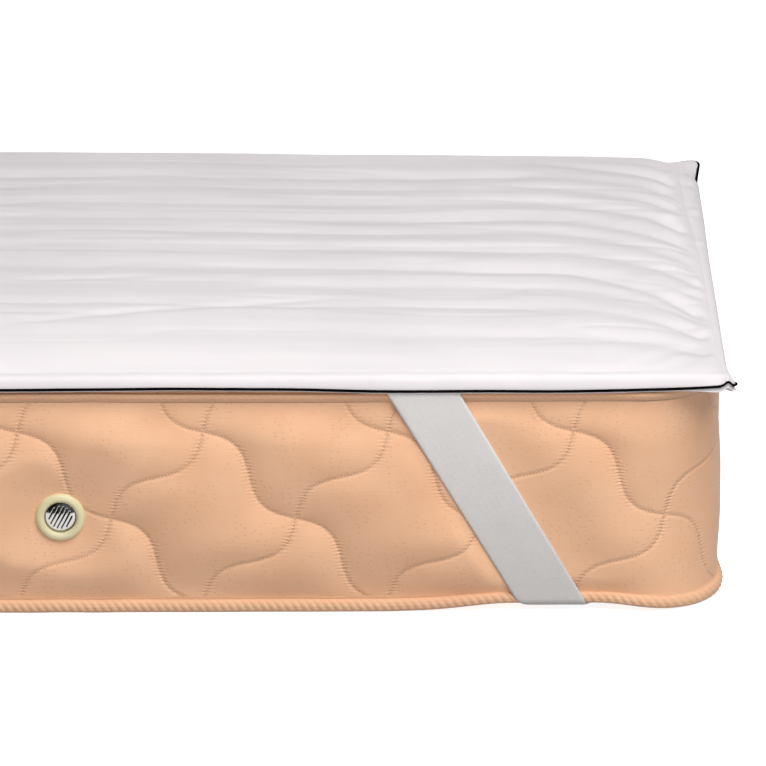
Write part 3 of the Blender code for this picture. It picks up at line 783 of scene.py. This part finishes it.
def mattress_mesh():
    """Rings round the mattress, from deep in under the bottom panel, up the border and in
    over the top panel."""
    run = np.arange(COLUMNS) / COLUMNS * AROUND
    heights = np.linspace(ROUNDED, PANEL - ROUNDED, SIDE_LEVELS)
    levels = [(-inset, 0.0) for inset in UNDER_INSETS] + [(-0.0018, 0.0018)]
    levels += [(0.0, height) for height in heights]
    levels += [(-0.0018, PANEL - 0.0018), (-ROUNDED, PANEL), (-0.03, PANEL)]
    rings = []
    for out, height in levels:
        on_side = ROUNDED <= height <= PANEL - ROUNDED
        x, y, _ = border(run, out + (ticking_relief(run, height) if on_side else 0.0 * run))
        low = np.clip(1 - height / 0.03, 0, 1) * bell(out, 0.035)
        lifted = np.maximum(height + LIFT * strap_pull(run) * low, groove(x, y) * (height < 0.02))
        rings.append(np.stack([x, y, lifted], -1))
    cloth = np.stack(np.meshgrid(np.append(run, AROUND), [height for _, height in levels]), -1)
    (falling, steep_fall, _), (rising, steep_rise, _) = seam_distances(cloth[..., 0], cloth[..., 1])
    steep = np.where(np.abs(falling) < np.abs(rising), steep_fall, steep_rise)
    values = {"cloth": cloth, "seams": np.stack([falling, rising, steep], -1)}
    return tube("quilted_mattress", np.stack(rings), False, values)


mattress_data = mattress_mesh()
print(len(mattress_data.vertices), "points")

# %% [markdown]
# ## Ticking
# The border's cloth is a tan polyester knit, quilted onto wadding. Close up it has fine
# level ribs, rows of small pin dots, dark stitch holes along the seams and short comb
# folds beside them, where the stitches gather the knit. All of that is drawn on the
# cloth's own length and height, in real millimetres.

# %% Make the ticking
STITCH, COMB, KNIT_RIB = 0.0038, 0.0034, 0.0013
DOT_CELL = (0.009, 0.006)              # along and up


def quilted_knit():
    """Colour and bump from the cloth's coordinates and its distance to the seams."""
    made, tree = finish("quilted_knit", Roughness=0.72, Sheen_Weight=0.15, Sheen_Roughness=0.4)
    cloth = add(tree, "Attribute", out="Vector", attribute_name="cloth")
    seams = add(tree, "Attribute", out="Vector", attribute_name="seams")
    run, height, _ = add(tree, "SeparateXYZ", (cloth,)).node.outputs
    *signed, steep = add(tree, "SeparateXYZ", (seams,)).node.outputs
    falling, rising = (add(tree, "Math", (distance,), operation="ABSOLUTE") for distance in signed)
    nearest = add(tree, "Math", (falling, rising), operation="MINIMUM")
    # Stitches are a sine along the seam, kept where it is high and the seam is near.
    down = add(tree, "Math", (run, height), operation="SUBTRACT")
    up = add(tree, "Math", (run, height), operation="ADD")
    is_falling = add(tree, "Math", (falling, rising), operation="LESS_THAN")
    along = add(tree, "Mix", (is_falling, up, down), data_type="FLOAT")
    hole = add(tree, "MapRange", {"Value": sine(tree, along, STITCH), "From Min": 0.2, "From Max": 0.8})
    close = add(tree, "MapRange", {"Value": nearest, "From Min": 0.0013, "From Max": 0.0003})
    stitch = add(tree, "Math", (hole, close), operation="MULTIPLY")
    # The valley under the stitches is sharper than the mesh can hold.
    valley = add(tree, "MapRange", {"Value": nearest, "From Max": 0.004}, interpolation_type="SMOOTHSTEP")
    # Level comb folds lie where the stitches of an upright seam gather the knit.
    wobble = add(tree, "TexNoise", {"Vector": cloth, "Scale": 60.0, "Detail": 2.0})
    bent = add(tree, "Math", (wobble, 0.006, height), operation="MULTIPLY_ADD")
    beside = add(tree, "MapRange", {"Value": nearest, "From Min": 0.010, "From Max": 0.0005})
    gathered = add(tree, "Math", (beside, steep), operation="MULTIPLY")
    sharp = add(tree, "Math", (gathered, 1.6), operation="POWER")
    folds = add(tree, "Math", (sine(tree, bent, COMB), sharp), operation="MULTIPLY")
    # Level knit ribs, and pin dots in uneven rows, missing in patches.
    ribs = sine(tree, height, KNIT_RIB)
    cells = add(tree, "Mapping", {"Vector": cloth, "Scale": (1 / DOT_CELL[0], 1 / DOT_CELL[1], 1.0)})
    from_dot = add(tree, "TexVoronoi", {"Vector": cells, "Scale": 1.0, "Randomness": 0.75},
                   voronoi_dimensions="2D")
    dot = add(tree, "MapRange", {"Value": from_dot, "From Min": 0.17, "From Max": 0.07})
    patchy = add(tree, "TexNoise", {"Vector": cloth, "Scale": 30.0, "Detail": 1.0})
    some = add(tree, "MapRange", {"Value": patchy, "From Min": 0.42, "From Max": 0.60})
    dots = add(tree, "Math", (dot, some), operation="MULTIPLY")
    heights = 0.0
    for share, metres in ((valley, 0.0007), (folds, 0.00026), (ribs, 0.000025), (dots, -0.00013),
                          (stitch, -0.00035)):
        heights = add(tree, "Math", (share, metres, heights), operation="MULTIPLY_ADD")
    bump = add(tree, "Bump", {"Height": heights, "Strength": 1.0, "Distance": 1.0})
    # Colour: patches of two tans, darker dots and dark holes.
    cloud = add(tree, "TexNoise", {"Vector": cloth, "Scale": 14.0, "Detail": 5.0, "Roughness": 0.6})
    patch = add(tree, "MapRange", {"Value": cloud, "From Min": 0.3, "From Max": 0.7})
    colour = add(tree, "Mix", (patch, light_of("E6B088"), light_of("EEBC95")), data_type="RGBA")
    for share, most, code in ((dots, 0.4, "CB9870"), (stitch, 0.45, "A06F4A")):
        part = add(tree, "Math", (share, most), operation="MULTIPLY")
        colour = add(tree, "Mix", (part, colour, light_of(code)), data_type="RGBA")
    return feed(made, Base_Color=colour, Normal=bump)


mattress = piece("quilted_mattress", mattress_data, quilted_knit(), "mattress")

# %% [markdown]
# ## The tape edges
# Where the border meets each panel, a folded tape is sewn over the seam. It is a thick
# ribbed tape that looks like a rope: slanted ribs 7.6 mm apart run round it, next to a
# flat flange with the stitches. Its section is a half oval; the ribs are a wave whose
# phase is the length along the tape plus a share of the way round the section. The
# upper tape is pulled flatter by the topper's weight.

# %% Make the tape
RIB, THREADS, FLANGE = 0.0076, 7, 0.0002
TAPE_FROM_PANEL = 0.0015
RIB_POINTS, ROPE_POINTS = 7, 12        # along one rib, and across the rope
# For each tape: its height, thickness, depth between ribs, flange's width, drop past its
# middle and sway, in metres. Its slant is in ribs round the section. The section's half
# oval has a power and is raised towards the panel, and the straps pull only the lower tape.
TAPES = {
    "top": {"tall": 0.0085, "thick": 0.0034, "ribs": 0.0005, "flange": 0.0006, "drop": 0.0,
            "sway": 0.0013, "slant": -1.5, "power": 1.1, "raised": 0.6, "pulled": 0.0},
    "bottom": {"tall": 0.0125, "thick": 0.0058, "ribs": 0.0012, "flange": 0.0030, "drop": 0.0014,
               "sway": 0.0, "slant": 1.5, "power": 0.75, "raised": 0.0, "pulled": 1.0},
}


def ribbed_tape(name, groove, dark, light):
    """Fine threads along the slanted ribs as bump, and painted shade: a darker tan between the ribs."""
    made, tree = finish(name, Roughness=0.75, Sheen_Weight=0.15)
    rope = add(tree, "Attribute", out="Vector", attribute_name="rope")
    rib, way, _ = add(tree, "SeparateXYZ", (rope,)).node.outputs
    place = add(tree, "TexCoord", out="Object")
    fuzz = add(tree, "TexNoise", {"Vector": place, "Scale": 700.0, "Detail": 2.0})
    height = add(tree, "Math", (sine(tree, way, 1 / THREADS), 0.3, fuzz), operation="MULTIPLY_ADD")
    bump = add(tree, "Bump", {"Height": height, "Strength": 0.7, "Distance": 0.00022})
    cloud = add(tree, "TexNoise", {"Vector": place, "Scale": 25.0, "Detail": 3.0})
    tan = add(tree, "Mix", (cloud, light_of(dark), light_of(light)), data_type="RGBA")
    # Painted shade between the ribs: the tan darkens where a rib's wave is low.
    between = add(tree, "MapRange", {"Value": rib, "From Max": 0.5, "To Min": 0.6, "To Max": 0.0})
    colour = add(tree, "Mix", (between, tan, light_of(groove)), data_type="RGBA")
    return feed(made, Base_Color=colour, Normal=bump)


# The upper tape's tans are painted lighter than the lower one's, to offset the shade that the topper's rim
# casts on it.
tape_materials = {"top": ribbed_tape("ribbed_tape_flat_painted_lighter", "DAA67F", "E6B28B", "EDBD98"),
                  "bottom": ribbed_tape("ribbed_tape", "CE9A72", "DFAB84", "E8B893")}
print([material.name for material in tape_materials.values()])

# %% [markdown]
# The lower tape is lifted and squeezed where the straps pass over it. The upper one lies
# level, half hidden by the topper.

# %% Place the tape edges
def tape_mesh(where):
    """Rings of the tape's section, carried round the border: the rope, two points more for
    the flange beside it, and two for the flat back."""
    tape, ribs = TAPES[where], round(AROUND / RIB)
    columns = ribs * RIB_POINTS
    run = (np.arange(columns) / columns * AROUND)[:, None]
    turn = np.linspace(-np.pi / 2, np.pi / 2, ROPE_POINTS)
    rib = (0.5 + 0.5 * np.cos(2 * np.pi * (run / AROUND * ribs + tape["slant"] * turn / np.pi))) ** 0.5
    oval = np.cos(turn) ** tape["power"] * (1 - tape["raised"] * np.sin(turn))
    pull = tape["pulled"] * strap_pull(run)
    wavy = 0.0003 * uneven(run, 0.5, 0.03, 1.0, 31) + tape["sway"] * uneven(run, 0.5, 0.11, 1.0, 32)
    depth = oval * (tape["thick"] * (1 - 0.10 * pull) - tape["ribs"] * (1 - rib))
    half, wide = tape["tall"] / 2, tape["flange"]
    level = (half - 0.0001) * np.sin(turn) * (1 - 0.12 * pull) + wavy
    flange_out = FLANGE * (1 - near_corner(run)) * [1, 1, 0, 0] + [0.0002, 0, 0.0003, 0.0003]
    flange_up = half + np.array([0.0001, wide, wide + 0.0003, 0.0004 - 2 * half])
    out = np.concatenate([0.0003 + depth[:, 1:], flange_out], 1)
    up = np.concatenate([level[:, 1:], flange_up * (1 - 0.12 * pull) + wavy], 1)
    middle = TAPE_FROM_PANEL + half - tape["drop"] * (1 - pull)
    height = PANEL - middle - up if where == "top" else middle + up + LIFT * pull
    x, y, _ = border(run, out + corner_push(run, height))
    ribbed = np.concatenate([rib[:, 1:], np.full((columns, 4), 0.25)], 1)
    far_rib = np.pad(ribbed, ((0, 1), (0, 1)), mode="wrap")
    values = np.stack(np.broadcast_arrays(far_rib, np.linspace(0, 1, far_rib.shape[1])), -1)
    return tube(f"ribbed_tape_{where}", np.stack([x, y, height], -1), True, {"rope": values})


for where, material in tape_materials.items():
    piece(f"ribbed_tape_{where}", tape_mesh(where), material, f"tape_edge_{where}")

# %% [markdown]
# ## The straps
# Wide knitted elastic in pale grey, sewn to the topper near each corner. It goes down
# over the border at a slant, turns under the lower tape and crosses below the corner to
# the other side. Elastic has a flat matte face with a close herringbone and firm edges.

# %% Make the elastic
TWILL, SWAP = 0.0021, 0.003


def knitted_elastic():
    """Two slanted waves for the herringbone, which swaps its slant every 3 mm, and a painted
    shade: the grey deepens a little away from the topper."""
    made, tree = finish("knitted_elastic", Roughness=0.85, Sheen_Weight=0.1)
    strap = add(tree, "Attribute", out="Vector", attribute_name="strap")
    along, across, _ = add(tree, "SeparateXYZ", (strap,)).node.outputs
    zigzag = add(tree, "Math", (across, SWAP), operation="PINGPONG")
    twill = sine(tree, add(tree, "Math", (along, zigzag), operation="ADD"), TWILL)
    bump = add(tree, "Bump", {"Height": twill, "Strength": 0.7, "Distance": 0.00013})
    place = add(tree, "TexCoord", out="Object")
    soft = add(tree, "TexNoise", {"Vector": place, "Scale": 22.0, "Detail": 2.0})
    # Painted shade: the grey darkens along the strap, away from the topper, a little unevenly.
    moved = add(tree, "Math", (soft, 0.06, along), operation="MULTIPLY_ADD")
    painted_shade_along = add(tree, "MapRange", {"Value": moved, "From Min": 0.03, "From Max": 0.26})
    grey = add(tree, "Mix", (painted_shade_along, light_of("EBE7E4"), light_of("CFCAC6")), data_type="RGBA")
    threads = add(tree, "MapRange", {"Value": twill, "From Min": -1.0, "To Min": 0.20, "To Max": 0.0})
    colour = add(tree, "Mix", (threads, grey, light_of("A9A6A6")), data_type="RGBA")
    return feed(made, Base_Color=colour, Normal=bump)


elastic = knitted_elastic()
print(elastic.name)

# %% [markdown]
# The route is given for one corner, as distances in from its two sides and a height,
# once for each edge of the strap. The other half of it is the same with the two sides
# swapped. The inner face follows the route; the outer face is a thickness further out.

# %% Route and build the straps
STRAP_THICK, STRAP_CLEAR, BACK_CLEAR = 0.0012, 0.0054, 0.0003
STRAP_UNDER = (0.1805, 0.124)
LOW_TAPE = 0.008 + LIFT                # the middle of the lower tape there
UNDER_STRAP = LIFT + STRAP_THICK + BACK_CLEAR
ACROSS = 25                            # points across a strap
CORNERS = {"front_right": (1, -1), "front_left": (-1, -1), "back_right": (1, 1), "back_left": (-1, 1)}


def half_route():
    """Points of both edges from the topper's rim to the middle of the run below the
    mattress: each is (in from the short side, in from the long side, height)."""
    high, low, below = (np.array(edges) for edges in (STRAP_TOP, STRAP_LOW, STRAP_UNDER))
    head = [(0.0010, 0.0009), (0.0034, 0.0), (0.0047, -0.0016), (0.0053, -0.0040)]
    down = [(STRAP_CLEAR, drop) for drop in np.linspace(-0.008, LOW_TAPE - PANEL, 40)]
    slant = (high - low) / (PANEL - LOW_TAPE)
    rows = [(high + slant * drop, -out, PANEL + drop) for out, drop in head + down]
    for angle in np.linspace(0, np.pi / 2, 9)[1:]:
        out = BACK_CLEAR + (STRAP_CLEAR - BACK_CLEAR) * np.cos(angle)
        height = LOW_TAPE - (LOW_TAPE - UNDER_STRAP) * np.sin(angle)
        rows.append((low + (below - low) * angle / (np.pi / 2), -out, height))
    for share in np.linspace(0, 0.5, 12)[1:]:
        in_short, in_long = ((below + BACK_CLEAR) * part - BACK_CLEAR for part in (1 - share, share))
        rows.append((in_short, in_long, UNDER_STRAP))
    return np.array([np.stack(np.broadcast_arrays(*row), -1) for row in rows])


def strap_mesh(name, end, side):
    """Both faces of a strap as one tube: across the inner face and back across the outer
    one, a thickness further out. Also the length along the middle of it."""
    half = half_route()
    route = np.concatenate([half, half[-2::-1][..., [1, 0, 2]]])
    share = np.linspace(0, 1, ACROSS)
    inner = route[:, None, 0] * (1 - share)[:, None] + route[:, None, 1] * share[:, None]
    face = np.cross(np.gradient(inner, axis=0), np.gradient(inner, axis=1))
    face /= np.linalg.norm(face, axis=-1, keepdims=True)
    face *= np.where(face[len(face) // 4, ACROSS // 2, 1] < 0, 1, -1)
    firm = 1 - 0.35 * bell(share - np.round(share), 0.02)
    swell = 0.00012 * uneven(np.arange(len(inner))[:, None], share, 9.0, 0.3, 51)
    outer = inner + face * (STRAP_THICK * firm + swell)[..., None]
    steps = np.linalg.norm(np.diff(inner[:, ACROSS // 2], axis=0), axis=1)
    run = np.concatenate([[0], np.cumsum(steps)])
    width = 0.056 * np.concatenate([share, share[::-1], [0]])
    values = np.stack(np.meshgrid(run, width, indexing="ij"), -1)
    rings = np.concatenate([inner, outer[:, ::-1]], 1)
    rings[..., 0] = end * (HALF_LENGTH - rings[..., 0])
    rings[..., 1] = side * (HALF_WIDTH - rings[..., 1])
    return tube(name, rings, False, {"strap": values}), run[-1]


for where, (end, side) in CORNERS.items():
    data, length = strap_mesh(f"elastic_strap_{where}", end, side)
    strap = piece(f"elastic_strap_{where}", data, elastic, f"strap_{where}")

# %% [markdown]
# ## The vents
# A moulded ring of cream plastic holds a slotted metal disc over a hole through the
# border, so that the mattress can breathe. The ring is a section turned round its axis.
# The disc is pressed from bright plated steel, slightly domed, so its upper part mirrors
# the dark room behind the camera and its lower part the pale floor.

# %% Make the vents' finishes
def moulded_plastic():
    """ABS from a polished mould: even cream, with the faint ripple that cooling leaves."""
    made, tree = finish("moulded_cream_plastic", Roughness=0.38, IOR=1.53)
    place = add(tree, "TexCoord", out="Object")
    ripple = add(tree, "TexNoise", {"Vector": place, "Scale": 160.0, "Detail": 2.0})
    bump = add(tree, "Bump", {"Height": ripple, "Strength": 0.2, "Distance": 0.0001})
    cloud = add(tree, "TexNoise", {"Vector": place, "Scale": 30.0})
    colour = add(tree, "Mix", (cloud, light_of("D8CDA0"), light_of("E0D6AE")), data_type="RGBA")
    return feed(made, Base_Color=colour, Normal=bump)


def plated_steel():
    """Bright plating with fine polishing marks, and painted shade in the slots for the dark air behind them.
    """
    made, tree = finish("plated_steel", Metallic=1.0)
    place = add(tree, "TexCoord", out="Object")
    marks = add(tree, "TexNoise", {"Vector": place, "Scale": 900.0, "Detail": 2.0})
    rough = add(tree, "MapRange", {"Value": marks, "To Min": 0.05, "To Max": 0.16})
    steel = add(tree, "Mix", (marks, light_of("9C9D9B"), light_of("B8B9B6")), data_type="RGBA")
    # Painted shade: the shallow troughs of the slots are coloured near black, as open holes would look.
    cut = add(tree, "Attribute", out="Vector", attribute_name="slot")
    slot = add(tree, "SeparateXYZ", (cut,))
    colour = add(tree, "Mix", (slot, steel, light_of("1B1917")), data_type="RGBA")
    return feed(made, Base_Color=colour, Roughness=rough)


plastic, metal = moulded_plastic(), plated_steel()
print(plastic.name, metal.name)

# %% [markdown]
# The ring's section is a smooth curve through the solid's own measures. The disc is a
# fine square grid drawn out to a circle, with its slots pressed into it as troughs.

# %% Turn and press the vents
RING = (                               # radius and height
    (0.0235, 0.0), (0.0236, 0.0010), (0.0233, 0.0024), (0.0223, 0.0037), (0.0208, 0.0047),
    (0.0190, 0.0052), (0.0176, 0.0051), (0.0165, 0.0046), (0.0156, 0.0037), (0.0151, 0.0026),
    (0.0150, 0.0),
)
DISC, DISC_RISE, DISC_DOME = 0.0147, 0.0008, 0.0024
DISC_POINTS, RING_STEPS = 84, 96
SLOTS, SLOT_PITCH, SLOT_HALF, SLOT_REACH, SLOT_LEAN = 6, 0.0037, 0.0007, 0.0112, 0.45


def stand(points, end, side):
    """Turns points made flat, with their height as the third number, to face out of a long
    side at a vent's place."""
    x = end * (HALF_LENGTH - VENT_RUN_IN) + points[..., 0]
    y = side * (HALF_WIDTH + 0.0003 + points[..., 2])
    return np.stack([x, y, VENT_HEIGHT + points[..., 1]], -1)


def ring_points():
    """The section, turned round its axis in steps."""
    angle = np.linspace(0, 2 * np.pi, RING_STEPS, endpoint=False)[:, None]
    radius, height = np.array(RING).T
    return np.stack(np.broadcast_arrays(radius * np.cos(angle), radius * np.sin(angle), height), -1)


def disc_face():
    """A square of points drawn out to a disc, and how deep each one lies in a slot, 0 to 1."""
    even = np.linspace(-1, 1, DISC_POINTS)
    u, v = np.meshgrid(even, even, indexing="ij")
    x, y = DISC * u * np.sqrt(1 - v * v / 2), DISC * v * np.sqrt(1 - u * u / 2)
    lean_x = x * np.cos(SLOT_LEAN) - y * np.sin(SLOT_LEAN)
    lean_y = y * np.cos(SLOT_LEAN) + x * np.sin(SLOT_LEAN)
    cut = np.zeros(x.shape)
    for slot in range(SLOTS):
        across = (slot - (SLOTS - 1) / 2) * SLOT_PITCH
        half = np.sqrt(SLOT_REACH ** 2 - across ** 2) - SLOT_HALF
        off = np.hypot(lean_x - across, np.maximum(np.abs(lean_y) - half, 0))
        cut = np.maximum(cut, 1 - ease((off - SLOT_HALF + 0.0003) / 0.0004))
    height = DISC_RISE + DISC_DOME * (1 - (np.hypot(x, y) / DISC) ** 2) - 0.0005 * cut
    return np.stack([x, y, height], -1), cut[..., None]


def disc_mesh(name, end, side):
    """The disc's face with its troughs, its rolled edge and its flat back."""
    face, cut = disc_face()
    back = face.reshape(-1, 3)[rim_order(*cut.shape[:2])] * [1, 1, 0]
    return sheet_on_rings(name, stand(face, end, side), [stand(back, end, side)], "slot", cut, 0.0)


for where, (end, side) in CORNERS.items():
    ring_data = tube(f"plastic_ring_{where}", stand(ring_points(), end, side), True)
    piece(f"plastic_ring_{where}", ring_data, plastic, f"vent_ring_{where}")
    disc_data = disc_mesh(f"slotted_disc_{where}", end, side)
    piece(f"slotted_disc_{where}", disc_data, metal, f"vent_disc_{where}")

# %% [markdown]
# ## Floor and light
# A plain pale floor and large soft lights, as in a product studio. The key light stands
# high at the front right, so the puffs of the quilting are bright towards the upper
# right. A weak one far in front reaches in under the topper's rim, two low strips light
# the sides that face away, and the room gives the rest.

# %% Set the floor, the room and the lights
def pale_floor():
    """Matte white with a faint glow, so that shadows on it stay light."""
    made, tree = finish("pale_floor", Roughness=0.9, Emission_Color=(1, 1, 1, 1), Emission_Strength=0.75)
    place = add(tree, "TexCoord", out="Object")
    cloud = add(tree, "TexNoise", {"Vector": place, "Scale": 0.5})
    colour = add(tree, "Mix", (cloud, light_of("F8F8F8"), light_of("FCFCFC")), data_type="RGBA")
    return feed(made, Base_Color=colour)


def flat_thing(name, corners, material):
    """A four-cornered thing that belongs to the studio."""
    data = bpy.data.meshes.new(name)
    data.from_pydata(corners, [], [(0, 1, 2, 3)])
    data.materials.append(material)
    thing = in_scene(name, data)
    return thing


def soft_light(name, place, target, width, height, watts):
    """A rectangular light that faces its target."""
    data = bpy.data.lights.new(name, "AREA")
    data.shape, data.size, data.size_y, data.energy = "RECTANGLE", width, height, watts
    thing = in_scene(name, data)
    thing.location = place
    thing.rotation_euler = (Vector(target) - Vector(place)).to_track_quat("-Z", "Y").to_euler()
    thing.visible_camera = False


FLOOR = 14                             # half its side
floor = flat_thing("floor", [(FLOOR * x, FLOOR * y, 0) for x, y in ((-1, -1), (1, -1), (1, 1), (-1, 1))],
                   pale_floor())
floor.visible_diffuse = False          # its glow doesn't light the object from below

world = bpy.data.worlds.new("room")
bpy.context.scene.world = world
world.use_nodes = True
sky = world.node_tree.nodes["Background"]
sky.inputs["Color"].default_value = light_of("F4F5F8")
sky.inputs["Strength"].default_value = 0.25
soft_light("key_light", (1.52, -2.25, 3.44), (0.5, -0.2, 0.2), 2.9, 2.9, 151)
soft_light("low_front_light", (1.2, -4.5, 0.50), (0.5, -0.3, 0.15), 2.5, 0.9, 44)
# Two strips lower than the topper, so that they reach the back and the left end alone.
soft_light("back_strip", (0.2, 3.2, 0.12), (0.0, 0.35, 0.12), 3.2, 0.2, 44)
soft_light("left_strip", (-3.6, 0.3, 0.12), (-0.95, 0.0, 0.12), 1.8, 0.2, 26)

# Dark cards in front of both long sides: only the bright metal of the vents sees them.
velvet, _ = finish("black_velvet", Roughness=1.0, Base_Color=light_of("0C0A09"))
for y in (-0.95, 0.95):
    card = flat_thing("dark_card", [(-2, y, 0), (2, y, 0), (2, y, 0.8), (-2, y, 0.8)], velvet)
    card.visible_camera = card.visible_diffuse = card.visible_shadow = False

bpy.context.scene.view_settings.view_transform = "Standard"
bpy.context.scene.view_settings.look = "None"
print("lit")
